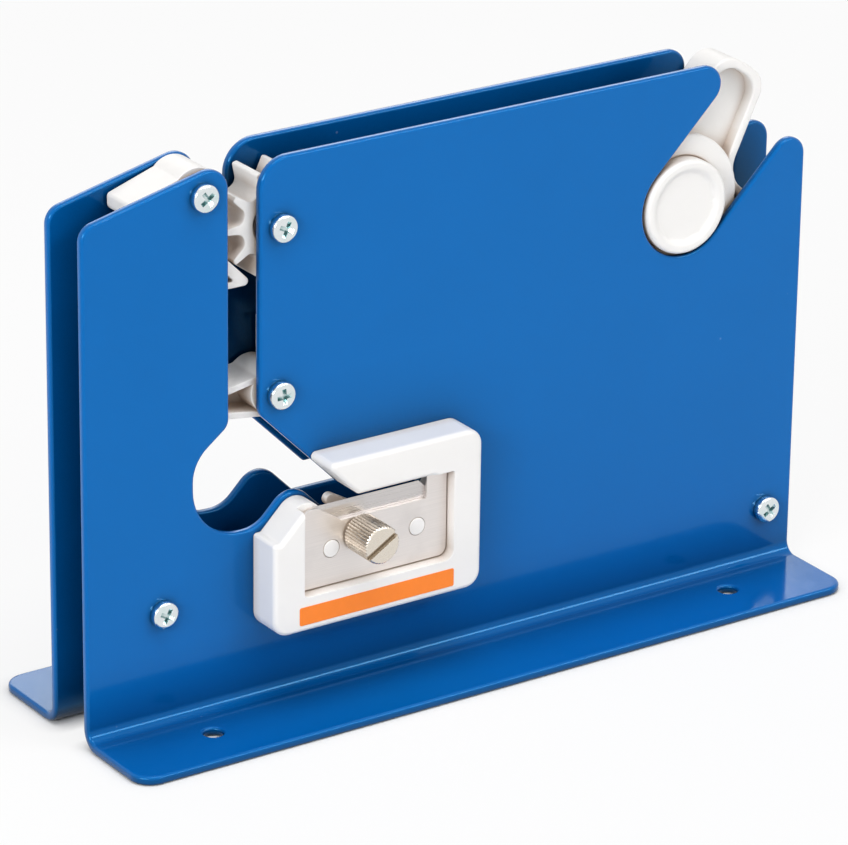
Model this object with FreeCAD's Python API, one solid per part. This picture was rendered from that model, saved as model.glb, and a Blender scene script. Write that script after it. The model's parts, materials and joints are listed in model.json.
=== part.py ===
import FreeCAD, Part
import math
import os

# Bag neck sealer: two folded steel side plates with a tape roll between them.
# Lengths are in millimetres. X runs along the plates, Y from the front plate to the
# rear one, Z up. While it is built, x = 0 is the plates' left edge, y = 0 is the
# front plate's outer face and z = 0 is the table. Export moves the origin to the
# middle of the footprint.

# Side plates
plate_length = 206.0
plate_height = 136.9
sheet = 2.3
inner_gap = 12.4
flange_depth = 24.4
bend_radius = 3.0
flange_corner = 5.5
flange_hole_d = 4.7
flange_hole_end = 27.5
flange_hole_edge = 13.4

# Left tower of the plates, from the height of the plates' top edge
tower_shoulder_drop = 7.6
tower_peak_rise = 1.6
tower_shoulder_r = 4.5
tower_peak_r = 5.4

# Vertical neck slot
slot_x = 39.1
slot_width = 8.3
slot_corner = 8.0

# Round chamber under the slot and the knife lever, and the hump that the neck passes
chamber_depth = 9.7
chamber_mouth_drop = 5.1
chamber_side_drop = 7.4
chamber_height = 27.6
chamber_mouth_r = 3.5
chamber_upper_r = 10.0
chamber_lower_r = 13.1
hump_foot_in = 7.9
hump_foot_r = 8.0
hump_r = 6.0

# Diagonal way from the chamber to the trimmer, and the trimmer's throat
diagonal_width = 6.9
diagonal_over_mouth = 0.9
diagonal_corner = 4.0
throat_under_floor = 0.3
throat_height = 7.0
throat_reach = 45.6
throat_corner = 0.8

# Open slots for the tape hub, at 45 degrees
hub_in = 36.3
hub_drop = 34.8
hub_slot_clearance = 0.65
slot_tip_r = 5.0
prong_tip_r = 4.7

# Screws, and the bushes and spacers that they hold between the plates
screw_r = 1.9
screw_head_r = 3.4
screw_head_h = 2.5
screw_side_h = 0.6
screw_length = 8.0
screw_recess_w = 0.95
screw_recess_l = 4.2
screw_recess_depth = 1.3
screw_recess_turn = 20.0
screw_hole_play = 0.15
thread_play = 0.05
spacer_r = 4.0
left_spacer_x = 20.5
left_spacer_z = 30.3
right_spacer_in = 8.3
right_spacer_z = 16.0

# Star wheel
star_in = 5.8
star_drop = 17.1
star_teeth = 10
star_tip_r = 13.3
star_root_r = 8.7
star_tip_w = 1.5
star_root_w = 2.6
star_tip_round = 0.5
star_root_round = 1.9
star_bush_r = 4.5
star_recess_r = 5.7
star_recess_depth = 1.6
side_play = 0.75
running_play = 0.05

# Pawl lever
pawl_out = 7.1
pawl_drop = 5.7
pivot_bush_r = 3.5
pawl_boss_r = 6.2
pawl_arm_reach = 17.0
pawl_arm_h = 4.6
pawl_arm_tilt = 18.6
pawl_boss_over_arm = 0.8
pawl_arm_top_r = 1.0
pawl_arm_low_r = 1.6
pawl_stem_w = 6.0
pawl_foot_drop = 13.9
pawl_face_setback = 0.6
pawl_shoulder_r = 1.0
pawl_tip_r = 1.1
pawl_heel_r = 2.0
pawl_to_star = 0.35
pawl_pocket_wall = 1.6
pawl_pocket_depth = 6.0
pawl_pocket_r = 0.4

# Knife lever: heights are taken from its screw
knife_in = 5.3
knife_drop = 41.3
knife_to_star = 4.3
knife_boss_r = 5.8
ramp_reach = 15.3
ramp_tip_rise = 2.4
ramp_root_rise = 4.8
ramp_tip_r = 2.0
ramp_hollow_r = 1.6
ramp_toe_in = 1.5
ramp_toe_drop = 4.7
ramp_heel_in = 3.0
ramp_heel_drop = 6.1
ramp_foot_r = 1.2
ramp_wall = 1.5
ramp_pocket_depth = 6.4
ramp_pocket_r = 0.8
knife_arm_in = 7.5
knife_arm_w = 3.4
knife_arm_back_r = 0.8
knife_arm_face_r = 0.4

# Serrated tape knife on the lever
blade_t = 0.5
knife_blade_h = 13.0
knife_blade_out = 8.3
knife_tooth_count = 9
knife_tooth_h = 1.2
rivet_r = 0.9
rivet_head_r = 1.5
rivet_head_h = 0.5
rivet_inset = 2.4
rivet_setback = 0.2
rivet_play = 0.03

# Torsion springs
wire_r = 0.3
coil_r = 4.3
coil_turns = 3
coil_pitch = 1.05
spring_bend_r = 0.9
coil_recess_r = 5.1
coil_recess_depth = 4.2
spring_end_play = 0.3
spring_tail_setback = 0.4
spring_hole_play = 0.12

# Tape hub
core_r = 37.7
hub_disc_r = 17.5
lobe_count = 4
lobe_angle = 57.0
lobe_taper = 8.0
lobe_side = 13.2
lobe_tip_r = 6.0
lobe_fillet_r = 7.0
lobe_step = 1.4
lobe_wall = 2.3
lobe_pocket_depth = 3.4
lobe_pocket_tip_r = 5.5
hub_play = 0.6
axle_r = 12.0
axle_proud = 0.7
axle_chamfer = 0.6
axle_rim = 2.2
axle_dish = 1.0
axle_dish_slope = 1.4
axle_bore_r = 6.5
axle_wall = 2.4

# Trimmer guard, set round the hump's foot, the throat and the thumb screw
guard_left_out = 1.5
guard_right_in = 11.3
guard_top_rise = 9.4
guard_sill_h = 8.8
guard_depth = 9.4
guard_corner = 4.2
guard_shoulder_r = 0.8
guard_edge = 1.2
guard_setback = 1.0
window_left_in = 8.5
window_right_in = 8.0
window_foot_drop = 9.5
window_sharp_r = 0.6
window_left_r = 1.0
window_corner = 2.4
window_depth = 3.95
pin_in = 9.2
pin_drop = 2.4
pin_span = 24.3
pin_r = 2.2
pin_proud = 0.15
pin_hole_play = 0.1
guard_screw_r = 1.5
guard_screw_head_r = 2.8
guard_screw_length = 7.0
guard_screw_land = 0.4
guard_screw_inset = 4.6
guard_screw_play = 0.05
rib_nose_in = 12.0
rib_nose_drop = 3.2
rib_nose_r = 1.5
rib_length = 8.5
rib_slope = 30.0
rib_t = 2.0

# Blade holder, blade, thumb screw and the film strip on the guard's sill
holder_t = 1.05
holder_play = 0.35
holder_nose_in = 4.0
holder_nose_rise = 4.8
holder_nose_flat = 1.2
holder_nose_r = 3.4
holder_slope_run = 8.0
holder_sill_rise = 0.3
holder_sill_r = 0.5
holder_notch_out = 2.8
holder_notch_r = 0.3
holder_post_drop = 0.3
holder_post_left_r = 1.0
holder_post_right_r = 0.4
holder_foot_r = 0.8
holder_corner = 2.2
trim_blade_t = 0.3
trim_blade_play = 0.05
trim_blade_rise = 4.8
trim_blade_over_insert = 0.2
trim_blade_left_in = 4.2
trim_blade_behind_post = 1.0
trim_blade_clip = 2.6
trim_bevel_h = 1.2
trim_edge_t = 0.09
thumb_in = 8.1
thumb_drop = 4.0
thumb_r = 4.85
thumb_length = 9.8
thumb_shank_r = 1.95
thumb_shank_play = 0.15
thumb_knurls = 36
thumb_knurl_depth = 0.35
thumb_slot_w = 1.4
thumb_slot_depth = 1.2
thumb_slot_angle = 31.0
thumb_chamfer = 0.5
thumb_tip_setback = 0.3
insert_r = 3.0
insert_setback = 0.3
strip_rise = 1.85
strip_height = 4.6
strip_t = 0.15
strip_in = 7.0

# Planes and places that follow from the sizes above
y_inner = sheet
y_far = sheet + inner_gap
y_back = 2 * sheet + inner_gap
y_mid = y_back / 2
part_y0 = y_inner + side_play
part_y1 = y_far - side_play
root2 = math.sqrt(2)
bend_top = sheet + bend_radius
tower_shoulder_z = plate_height - tower_shoulder_drop
tower_peak_z = plate_height + tower_peak_rise
slot_right = slot_x + slot_width
star_x = slot_right + star_in
star_z = plate_height - star_drop
pawl_x = slot_x - pawl_out
pawl_z = plate_height - pawl_drop
knife_x = slot_right + knife_in
knife_z = star_z - knife_drop
knife_arm_x = slot_right + knife_arm_in
knife_top_z = star_z - star_tip_r - knife_to_star
chamber_x = slot_x - chamber_depth
chamber_top_z = knife_z - chamber_mouth_drop
chamber_side_z = chamber_top_z - chamber_side_drop
chamber_floor_z = chamber_top_z - chamber_height
hump_foot_x = slot_x + hump_foot_in
diagonal_top_z = chamber_top_z + diagonal_over_mouth
diagonal_sum = slot_right + diagonal_top_z
lower_sum = diagonal_sum - diagonal_width * root2
throat_floor_z = chamber_floor_z - throat_under_floor
throat_top_z = throat_floor_z + throat_height
throat_end_x = slot_right + throat_reach
hub_x = plate_length - hub_in
hub_z = plate_height - hub_drop
hub_slot_half = axle_r + hub_slot_clearance
right_spacer_x = plate_length - right_spacer_in
guard_left = hump_foot_x - guard_left_out
guard_right = throat_end_x + guard_right_in
guard_top = throat_top_z + guard_top_rise
window_left = guard_left + window_left_in
window_right = guard_right - window_right_in
window_y = window_depth - guard_depth
pin_xs = (window_left + pin_in, window_left + pin_in + pin_span)
thumb_x = pin_xs[0] + thumb_in
thumb_z = throat_floor_z - thumb_drop
pin_z = thumb_z - pin_drop
window_foot = pin_z - window_foot_drop
guard_foot = window_foot - guard_sill_h
holder_y = window_y - holder_t
holder_notch_end = throat_end_x - holder_notch_out
trim_blade_left = window_left + holder_play + trim_blade_left_in
trim_blade_right = holder_notch_end + trim_blade_behind_post
trim_blade_foot = thumb_z + insert_r + trim_blade_over_insert

# How far a cutting tool passes the surface that it cuts, and the shortest edge drawn
over = 0.1
shortest = 1e-6

V = FreeCAD.Vector


def corner_arc(corner, way_in, way_out, reach):
    """Start, middle and end of the arc that rounds a corner, from that far before it."""
    if reach < shortest:
        return corner, None, corner
    half_turn = way_in.getAngle(way_out) / 2
    radius = reach / math.tan(half_turn)
    inward = (way_out - way_in).normalize()
    middle = corner + inward * (radius / math.cos(half_turn) - radius)
    return corner - way_in * reach, middle, corner + way_out * reach


def outline(points, y):
    """Closed wire in an XZ plane through points (x, z, corner radius).

    A radius is limited by the two sides that it joins.
    """
    count = len(points)
    corners = [V(x, y, z) for x, z, _ in points]
    lengths = [corners[i].distanceToPoint(corners[(i + 1) % count]) for i in range(count)]
    ways = [(corners[(i + 1) % count] - corners[i]).normalize() for i in range(count)]
    reaches = [points[i][2] * math.tan(ways[i - 1].getAngle(ways[i]) / 2) for i in range(count)]
    shares = [lengths[i] / max(lengths[i], reaches[i] + reaches[(i + 1) % count]) for i in range(count)]
    arcs = []
    for i in range(count):
        reach = reaches[i] * min(shares[i - 1], shares[i])
        arcs.append(corner_arc(corners[i], ways[i - 1], ways[i], reach))
    edges = []
    for i in range(count):
        start, middle, stop = arcs[i]
        last = arcs[i - 1][2]
        if start.distanceToPoint(last) > shortest:
            edges.append(Part.LineSegment(last, start).toShape())
        if middle is not None:
            edges.append(Part.Arc(start, middle, stop).toShape())
    return Part.Wire(edges)


def prism(points, y0, y1):
    """Solid with a rounded outline, from y0 to y1."""
    return Part.Face(outline(points, y0)).extrude(V(0, y1 - y0, 0))


def rod(x, z, radius, y0, y1):
    """Cylinder along Y."""
    return Part.makeCylinder(radius, y1 - y0, V(x, y0, z), V(0, 1, 0))


def x_rod(radius, x0, x1, y, z):
    """Cylinder along X."""
    return Part.makeCylinder(radius, x1 - x0, V(x0, y, z), V(1, 0, 0))


def box(x0, x1, y0, y1, z0, z1):
    return Part.makeBox(x1 - x0, y1 - y0, z1 - z0, V(x0, y0, z0))


def turned(profile, x, z):
    """Solid of revolution about a line along Y, from points (radius, y)."""
    points = [V(x + r, y, z) for r, y in profile]
    face = Part.Face(Part.makePolygon(points + [points[0]]))
    return face.revolve(V(x, 0, z), V(0, 1, 0), 360)


def mirrored(shape):
    """The same shape on the other side of the plane midway between the plates."""
    return shape.mirror(V(0, y_mid, 0), V(0, 1, 0))


def polar(x, z, radius, angle):
    turn = math.radians(angle)
    return (x + radius * math.cos(turn), z + radius * math.sin(turn))


def screw_places():
    return [
        (pawl_x, pawl_z),
        (star_x, star_z),
        (knife_x, knife_z),
        (left_spacer_x, left_spacer_z),
        (right_spacer_x, right_spacer_z),
    ]


def guard_screw_places():
    left = guard_left + guard_screw_inset
    right = guard_right - guard_screw_inset
    low = guard_foot + guard_screw_inset
    high = guard_top - guard_screw_inset
    return [(left, low), (right, low), (right, high)]


def hump_peak(setback):
    """Where the hump's two slopes meet, that far inside the plates' edge."""
    rise = hump_foot_x - chamber_floor_z + setback * root2
    fall = lower_sum - setback * root2
    return ((fall + rise) / 2, (fall - rise) / 2, hump_r - setback)


def throat_outline(low_sum):
    """The throat's corners, from its lower mouth round to its upper mouth."""
    return [
        (low_sum - throat_floor_z, throat_floor_z, throat_corner),
        (throat_end_x, throat_floor_z, throat_height / 2),
        (throat_end_x, throat_top_z, throat_height / 2),
    ]


def plate_outline():
    """Outline of a side plate above its bend, with the slots open to its edges."""
    slot_edge = hub_slot_half * root2
    left_rise = hub_x - slot_edge - hub_z
    right_rise = hub_x + slot_edge - hub_z
    return [
        (0, bend_top, 0),
        (0, tower_shoulder_z, tower_shoulder_r),
        (slot_x, tower_peak_z, tower_peak_r),
        (slot_x, chamber_top_z, chamber_mouth_r),
        (chamber_x, chamber_side_z, chamber_upper_r),
        (chamber_x, chamber_floor_z, chamber_lower_r),
        (hump_foot_x, chamber_floor_z, hump_foot_r),
        hump_peak(0),
        *throat_outline(lower_sum),
        (diagonal_sum - throat_top_z, throat_top_z, throat_corner),
        (slot_right, diagonal_top_z, diagonal_corner),
        (slot_right, plate_height, slot_corner),
        (plate_height + left_rise, plate_height, slot_tip_r),
        (hub_x - slot_edge, hub_z, hub_slot_half),
        (hub_x, hub_z - slot_edge, hub_slot_half),
        (plate_length, plate_length - right_rise, prong_tip_r),
        (plate_length, bend_top, 0),
    ]


def make_folded_plate():
    """The plate that both sides share: a wall, a bend and a flange with two bolt holes."""
    wall = prism(plate_outline(), 0, sheet)
    bend_at = V(0, -bend_radius, bend_top)
    bend = Part.makeCylinder(bend_radius + sheet, plate_length, bend_at, V(1, 0, 0))
    bend = bend.cut(Part.makeCylinder(bend_radius, plate_length, bend_at, V(1, 0, 0)))
    bend = bend.common(box(0, plate_length, -bend_radius, sheet, 0, bend_top))
    flange = box(0, plate_length, -flange_depth, -bend_radius, 0, sheet)
    upright = [e for e in flange.Edges if e.BoundBox.ZLength > sheet / 2]
    corners = [e for e in upright if e.BoundBox.YMax < over - flange_depth]
    flange = flange.makeFillet(flange_corner, corners)
    for x in (flange_hole_end, plate_length - flange_hole_end):
        hole = Part.makeCylinder(flange_hole_d / 2, sheet, V(x, flange_hole_edge - flange_depth, 0))
        flange = flange.cut(hole)
    plate = wall.fuse(bend).fuse(flange).removeSplitter()
    for x, z in screw_places():
        plate = plate.cut(rod(x, z, screw_r + screw_hole_play, 0, sheet))
    return plate


def make_front_side_plate():
    """The front plate also carries the trimmer, held by screws from inside the gap."""
    plate = make_folded_plate()
    for x, z in guard_screw_places():
        plate = plate.cut(guard_screw(x, z, guard_screw_play))
    return plate


def make_rear_side_plate():
    """The rear plate also holds the tails of the two springs."""
    plate = mirrored(make_folded_plate())
    for x, z in spring_tails():
        plate = plate.cut(rod(x, z, wire_r + spring_hole_play, y_far, y_back))
    return plate


def pan_screw(x, z):
    """Front screw: domed pan head with a cross recess, and a plain shank."""
    dome_h = screw_head_h - screw_side_h
    dome_r = (screw_head_r ** 2 + dome_h ** 2) / (2 * dome_h)
    head = rod(x, z, screw_head_r, -screw_head_h, 0)
    head = head.common(Part.makeSphere(dome_r, V(x, dome_r - screw_head_h, z)))
    floor = screw_recess_depth - screw_head_h
    for turn in (screw_recess_turn, screw_recess_turn + 90):
        slot = box(-screw_recess_l / 2, screw_recess_l / 2, -screw_head_h, floor,
                   -screw_recess_w / 2, screw_recess_w / 2)
        slot.rotate(V(0, 0, 0), V(0, 1, 0), turn)
        slot.translate(V(x, 0, z))
        head = head.cut(slot)
    return head.fuse(rod(x, z, screw_r, 0, screw_length)).removeSplitter()


def make_front_screws():
    return Part.makeCompound([pan_screw(x, z) for x, z in screw_places()])


def make_rear_screws():
    return Part.makeCompound([mirrored(pan_screw(x, z)) for x, z in screw_places()])


def bush(x, z, radius):
    """Tube between the plates, round a screw."""
    tube = rod(x, z, radius, y_inner, y_far)
    return tube.cut(rod(x, z, screw_r + thread_play, y_inner, y_far))


def make_lower_spacers():
    left = bush(left_spacer_x, left_spacer_z, spacer_r)
    right = bush(right_spacer_x, right_spacer_z, spacer_r)
    return Part.makeCompound([left, right])


def make_star_wheel():
    """Narrow teeth with rounded valleys, running on the star bush."""
    half_tip = math.degrees(star_tip_w / 2 / star_tip_r)
    half_root = math.degrees(star_root_w / 2 / star_root_r)
    points = []
    for i in range(star_teeth):
        angle = 360.0 * i / star_teeth
        points.append((*polar(star_x, star_z, star_root_r, angle - half_root), star_root_round))
        points.append((*polar(star_x, star_z, star_tip_r, angle - half_tip), star_tip_round))
        points.append((*polar(star_x, star_z, star_tip_r, angle + half_tip), star_tip_round))
        points.append((*polar(star_x, star_z, star_root_r, angle + half_root), star_root_round))
    wheel = prism(points, part_y0, part_y1)
    wheel = wheel.cut(rod(star_x, star_z, star_bush_r + running_play, part_y0, part_y1))
    wheel = wheel.cut(rod(star_x, star_z, star_recess_r, part_y0, part_y0 + star_recess_depth))
    return wheel.cut(rod(star_x, star_z, star_recess_r, part_y1 - star_recess_depth, part_y1))


def coil_recess(x, z):
    return rod(x, z, coil_recess_r, part_y1 - coil_recess_depth, part_y1)


def make_pawl_lever():
    """Bell crank on the tower's screw: a finger arm to the left and a pawl under the star."""
    tilt = math.radians(pawl_arm_tilt)
    arm_x = pawl_x - pawl_arm_reach
    boss_top = pawl_z + (pawl_boss_r - pawl_boss_over_arm) / math.cos(tilt)
    arm_top = boss_top - pawl_arm_reach * math.tan(tilt)
    arm = prism([
        (arm_x, arm_top - pawl_arm_h, pawl_arm_low_r),
        (arm_x, arm_top, pawl_arm_top_r),
        (pawl_x, boss_top, 0),
        (pawl_x, boss_top - pawl_arm_h, 0),
    ], part_y0, part_y1)
    room_r = star_tip_r + pawl_to_star
    face_x = star_x - room_r - pawl_face_setback
    back_x = face_x - pawl_stem_w
    foot_z = star_z - pawl_foot_drop
    wedge_sum = star_x + star_z - room_r * root2
    stem = prism([
        (back_x, pawl_z, 0),
        (face_x, pawl_z, 0),
        (face_x, wedge_sum - face_x, pawl_shoulder_r),
        (wedge_sum - foot_z, foot_z, pawl_tip_r),
        (back_x, foot_z, pawl_heel_r),
    ], part_y0, part_y1)
    inner_x = back_x + pawl_pocket_wall
    inner_z = foot_z + pawl_pocket_wall
    inner_sum = wedge_sum - pawl_pocket_wall * (root2 + 1)
    pocket = prism([
        (inner_x, inner_z, pawl_pocket_r),
        (inner_sum - inner_z, inner_z, pawl_pocket_r),
        (inner_x, inner_sum - inner_x, pawl_pocket_r),
    ], part_y0, part_y0 + pawl_pocket_depth)
    lever = arm.fuse(rod(pawl_x, pawl_z, pawl_boss_r, part_y0, part_y1)).fuse(stem).cut(pocket)
    lever = lever.cut(rod(star_x, star_z, room_r, part_y0, part_y1)).removeSplitter()
    lever = lever.cut(rod(pawl_x, pawl_z, pivot_bush_r + running_play, part_y0, part_y1))
    return lever.cut(coil_recess(pawl_x, pawl_z))


def make_knife_lever():
    """Lever in the foot of the neck slot: a hollow ramp left of its boss and an upright knife arm."""
    tip_x = knife_x - ramp_reach
    tip_z = knife_z + ramp_tip_rise
    toe_x = tip_x + ramp_toe_in
    toe_z = knife_z - ramp_toe_drop
    heel_x = knife_x - ramp_heel_in
    heel_z = knife_z - ramp_heel_drop
    ramp = prism([
        (tip_x, tip_z, ramp_tip_r),
        (knife_x, knife_z + ramp_root_rise, 0),
        (knife_x, knife_z - knife_boss_r, 0),
        (heel_x, heel_z, ramp_foot_r),
        (toe_x, toe_z, ramp_foot_r),
    ], part_y0, part_y1)
    boss = rod(knife_x, knife_z, knife_boss_r, part_y0, part_y1)
    ramp = ramp.fuse(boss).removeSplitter()
    roots = [e for e in ramp.Edges if e.BoundBox.YLength > (part_y1 - part_y0) / 2
             and knife_z < e.BoundBox.Center.z and tip_x + ramp_tip_r < e.BoundBox.Center.x < knife_x]
    ramp = ramp.makeFillet(ramp_hollow_r, roots)
    pocket = prism([
        (tip_x + ramp_wall, tip_z - ramp_wall, ramp_pocket_r),
        (knife_x, knife_z + ramp_root_rise - ramp_wall, 0),
        (knife_x, knife_z - knife_boss_r + ramp_wall, 0),
        (heel_x, heel_z + ramp_wall, 0),
        (toe_x + ramp_wall, toe_z + ramp_wall, ramp_pocket_r),
    ], part_y0, part_y0 + ramp_pocket_depth)
    ramp = ramp.cut(pocket.cut(boss))
    arm_top_z = knife_top_z - knife_blade_out
    arm = prism([
        (knife_arm_x, knife_z, 0),
        (knife_arm_x, arm_top_z, knife_arm_back_r),
        (knife_arm_x + knife_arm_w, arm_top_z, knife_arm_face_r),
        (knife_arm_x + knife_arm_w, knife_z, 0),
    ], part_y0, part_y1)
    lever = ramp.fuse(arm).removeSplitter()
    lever = lever.cut(rod(knife_x, knife_z, pivot_bush_r + running_play, part_y0, part_y1))
    lever = lever.cut(coil_recess(knife_x, knife_z))
    for y, z in rivet_places():
        lever = lever.cut(x_rod(rivet_r + rivet_play, knife_arm_x, knife_arm_x + knife_arm_w, y, z))
    return lever


def rivet_places():
    z = knife_top_z - knife_blade_h + rivet_inset
    return [(part_y0 + rivet_inset, z), (part_y1 - rivet_inset, z)]


def make_tape_knife():
    """Thin strip with saw teeth on its upper edge, flat on the knife arm."""
    x = knife_arm_x + knife_arm_w
    foot = knife_top_z - knife_blade_h
    valley = knife_top_z - knife_tooth_h
    pitch = (part_y1 - part_y0) / knife_tooth_count
    points = [V(x, part_y0, foot)]
    for i in range(knife_tooth_count):
        points.append(V(x, part_y0 + i * pitch, valley))
        points.append(V(x, part_y0 + (i + 0.5) * pitch, knife_top_z))
    points.append(V(x, part_y1, valley))
    points.append(V(x, part_y1, foot))
    knife = Part.Face(Part.makePolygon(points + [points[0]])).extrude(V(blade_t, 0, 0))
    for y, z in rivet_places():
        knife = knife.cut(x_rod(rivet_r + rivet_play, x, x + blade_t, y, z))
    return knife


def make_knife_rivets():
    right = knife_arm_x + knife_arm_w + blade_t
    rivets = []
    for y, z in rivet_places():
        shank = x_rod(rivet_r, knife_arm_x + rivet_setback, right, y, z)
        head = x_rod(rivet_head_r, right, right + rivet_head_h, y, z)
        rivets.append(shank.fuse(head).removeSplitter())
    return Part.makeCompound(rivets)


def coil_point(turns):
    """Point and direction of the wire's middle after that many turns, round the line y."""
    angle = 2 * math.pi * turns
    point = V(coil_r * math.cos(angle), coil_pitch * turns, coil_r * math.sin(angle))
    way = V(-2 * math.pi * coil_r * math.sin(angle), coil_pitch, 2 * math.pi * coil_r * math.cos(angle))
    return point, way.normalize()


def joined_arcs(start, way_in, stop, way_out):
    """Two arcs that meet in a common tangent and join two points in given directions."""
    span = stop - start
    ways = way_in + way_out
    spread = 2 * (1 - way_in.dot(way_out))
    along = span.dot(ways)
    reach = (math.sqrt(along ** 2 + spread * span.dot(span)) - along) / spread
    first = start + way_in * reach
    second = stop - way_out * reach
    middle = (second - first).normalize()
    arcs = (corner_arc(first, way_in, middle, reach), corner_arc(second, middle, way_out, reach))
    return [Part.Arc(*arc).toShape() for arc in arcs]


def tail_bend():
    """The arc that leads from the coil's end straight back."""
    end, way = coil_point(coil_turns)
    back = V(0, 1, 0)
    reach = spring_bend_r * math.tan(way.getAngle(back) / 2)
    return corner_arc(end + way * reach, way, back, reach)


def spring_tails():
    """Where the tails of the two springs go through the rear plate."""
    tail = tail_bend()[2]
    return [(x + tail.x, z + tail.z) for x, z in ((pawl_x, pawl_z), (knife_x, knife_z))]


def torsion_spring(x, z):
    """One wire: turns round a bush, then a bend into a straight tail through the rear plate."""
    edges = []
    for quarter in range(4 * coil_turns):
        here, way = coil_point(quarter / 4)
        there, next_way = coil_point((quarter + 1) / 4)
        edges += joined_arcs(here, way, there, next_way)
    bend = tail_bend()
    first_y = y_far - spring_end_play - wire_r - there.y
    tail_end = V(bend[2].x, y_back - spring_tail_setback - first_y, bend[2].z)
    edges.append(Part.Arc(*bend).toShape())
    edges.append(Part.LineSegment(bend[2], tail_end).toShape())
    first, way = coil_point(0)
    section = Part.Wire(Part.makeCircle(wire_r, first, way))
    wire = Part.Wire(edges).makePipeShell([section], True, False)
    wire.translate(V(x, first_y, z))
    return wire


def coil_gap():
    """Least gap between the turns of a spring, measured on points along the wire."""
    steps = 36
    wire = [coil_point(i / steps)[0] for i in range(coil_turns * steps + 1)]
    pairs = [(wire[i], other) for i in range(len(wire)) for other in wire[i + steps // 2:]]
    return min(here.distanceToPoint(other) for here, other in pairs) - 2 * wire_r


def lobed(side, radius, tip_r, fillet_r, y0, y1):
    """Tapered lobes out to a circle, rounded at their tips and in the valleys between them."""
    taper = math.radians(lobe_taper)
    step = 360.0 / lobe_count
    past = radius + lobe_wall
    half = side / math.cos(taper) - math.tan(taper) * past
    out = math.degrees(math.atan2(half, past))
    reach = math.hypot(half, past)
    notch = side / math.sin(math.radians(step / 2) + taper)
    corners = []
    for i in range(lobe_count):
        axis = lobe_angle - step * i
        corners.append((*polar(hub_x, hub_z, reach, axis + out), 0))
        corners.append((*polar(hub_x, hub_z, reach, axis - out), 0))
        corners.append((*polar(hub_x, hub_z, notch, axis - step / 2), fillet_r))
    shape = prism(corners, y0, y1).common(rod(hub_x, hub_z, radius, y0, y1))
    along = [e for e in shape.Edges if e.BoundBox.YLength > (y1 - y0) / 2]
    centre = V(hub_x, y_mid, hub_z)
    tips = [e for e in along if e.BoundBox.Center.distanceToLine(centre, V(0, 1, 0)) > radius - over]
    return shape.makeFillet(tip_r, tips)


def make_tape_hub():
    """Four lobes that fill a tape core, round a disc that turns on the hub axle."""
    y0 = y_inner + hub_play
    y1 = y_far - hub_play
    lobe_y0 = y0 + lobe_step
    shape = lobed(lobe_side, core_r, lobe_tip_r, lobe_fillet_r, lobe_y0, y1)
    pocket = lobed(lobe_side - lobe_wall, core_r - lobe_wall, lobe_pocket_tip_r,
                   lobe_fillet_r + lobe_wall, lobe_y0, lobe_y0 + lobe_pocket_depth)
    shape = shape.cut(pocket).fuse(rod(hub_x, hub_z, hub_disc_r, y0, y1)).removeSplitter()
    return shape.cut(rod(hub_x, hub_z, axle_r + running_play, y0, y1))


def make_hub_axle_front():
    """Front half of the hollow axle, with a dished end that rests in the plate's slot."""
    face = -axle_proud
    floor_y = face + axle_dish
    dish_r = axle_r - axle_rim
    profile = [
        (axle_bore_r, y_mid),
        (axle_r, y_mid),
        (axle_r, face + axle_chamfer),
        (axle_r - axle_chamfer, face),
        (dish_r, face),
        (dish_r - axle_dish_slope, floor_y),
        (0, floor_y),
        (0, floor_y + axle_wall),
        (axle_bore_r, floor_y + axle_wall),
    ]
    return turned(profile, hub_x, hub_z)


def make_hub_axle_rear():
    return mirrored(make_hub_axle_front())


def guard_outline():
    """Outline of the guard: its left end follows the plates' hump, set back from it."""
    peak = hump_peak(guard_setback)
    foot = chamber_floor_z - guard_setback
    shoulder = peak[0] - peak[1] + foot
    return [
        (guard_left, guard_foot, guard_corner),
        (guard_left, foot, guard_shoulder_r),
        (shoulder, foot, guard_shoulder_r),
        peak,
        *throat_outline(lower_sum - guard_setback * root2),
        (diagonal_sum - throat_top_z, throat_top_z, throat_corner),
        (diagonal_sum - guard_top, guard_top, guard_edge),
        (guard_right, guard_top, guard_corner),
        (guard_right, guard_foot, guard_corner),
    ]


def make_trimmer_guard():
    """Moulded guard with a window, a throat, two locating pins and a seat for the blade."""
    guard = prism(guard_outline(), -guard_depth, 0)
    front = [e for e in guard.Edges if e.BoundBox.YMax < over - guard_depth]
    guard = guard.makeFillet(guard_edge, front)
    window = prism([
        (window_left, window_foot, window_left_r),
        (window_left, throat_top_z, 0),
        (window_right, throat_top_z, window_sharp_r),
        (window_right, window_foot, window_corner),
    ], -guard_depth, window_y)
    guard = guard.cut(window)
    for x in pin_xs:
        guard = guard.fuse(rod(x, pin_z, pin_r, holder_y - pin_proud, window_y))
    guard = guard.fuse(neck_rib()).removeSplitter()
    seat = box(trim_blade_left - trim_blade_play, trim_blade_right + trim_blade_play,
               window_y, window_y + trim_blade_t + trim_blade_play,
               trim_blade_foot - trim_blade_play, throat_top_z)
    guard = guard.cut(seat)
    guard = guard.cut(rod(thumb_x, thumb_z, insert_r + thread_play, window_y, 0))
    for x, z in guard_screw_places():
        guard = guard.cut(guard_screw(x, z, guard_screw_play))
    return guard


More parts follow.
